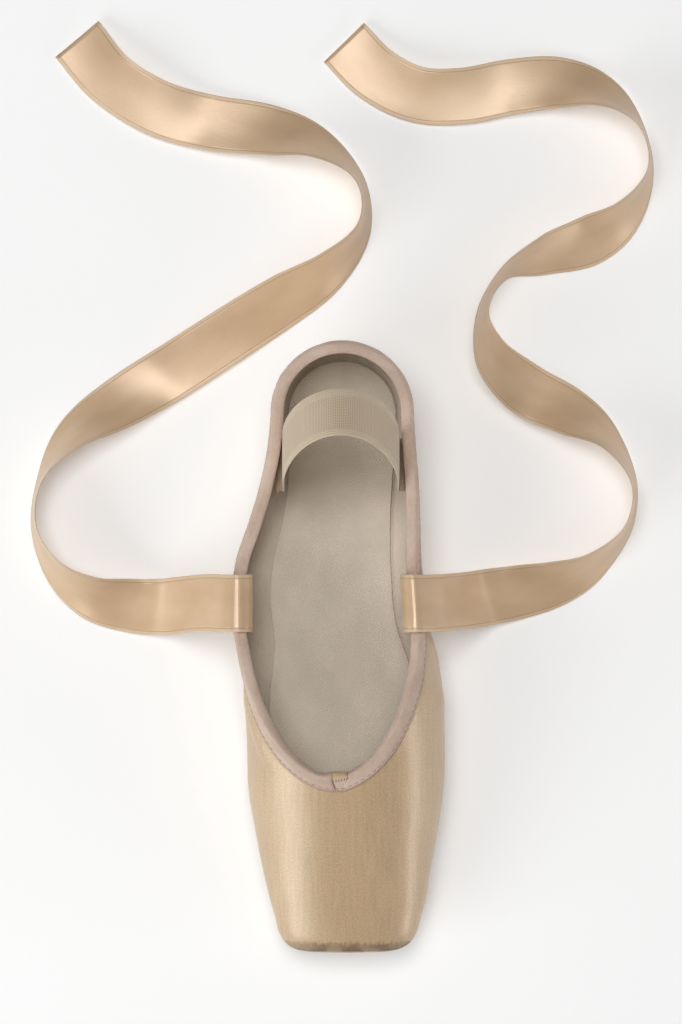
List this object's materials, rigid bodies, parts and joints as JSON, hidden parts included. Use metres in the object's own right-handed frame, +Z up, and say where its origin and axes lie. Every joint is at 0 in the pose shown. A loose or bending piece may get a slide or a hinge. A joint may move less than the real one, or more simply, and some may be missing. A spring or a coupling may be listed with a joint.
{
  "type": "pointe shoe",
  "caption": "Satin pointe shoe with a stiff flat-ended box, open collar, drawstring casing, heel elastic and ankle ribbons, standing empty on its sole.",
  "frame": {"origin": "bottom centre of the shoe without its ribbons: on the floor, midway between platform and heel back", "axes": "+Y from the toe towards the heel, +X towards the wearer's big toe side, +Z up from the sole"},
  "size_m": [0.2439, 0.362, 0.0844],
  "materials": {
    "sole_leather": "matt",
    "satin": "satin",
    "insole_canvas": "matt",
    "casing": "matt",
    "elastic_mesh": "matt",
    "ribbon_satin": "satin"
  },
  "bodies": {
    "root": {"outsole": "sole_leather", "upper": "satin", "insole": "insole_canvas", "binding": "casing", "drawstring_tab": "satin", "elastic": "elastic_mesh", "ribbon_left": "ribbon_satin", "ribbon_right": "ribbon_satin"}
  },
  "joints": []
}
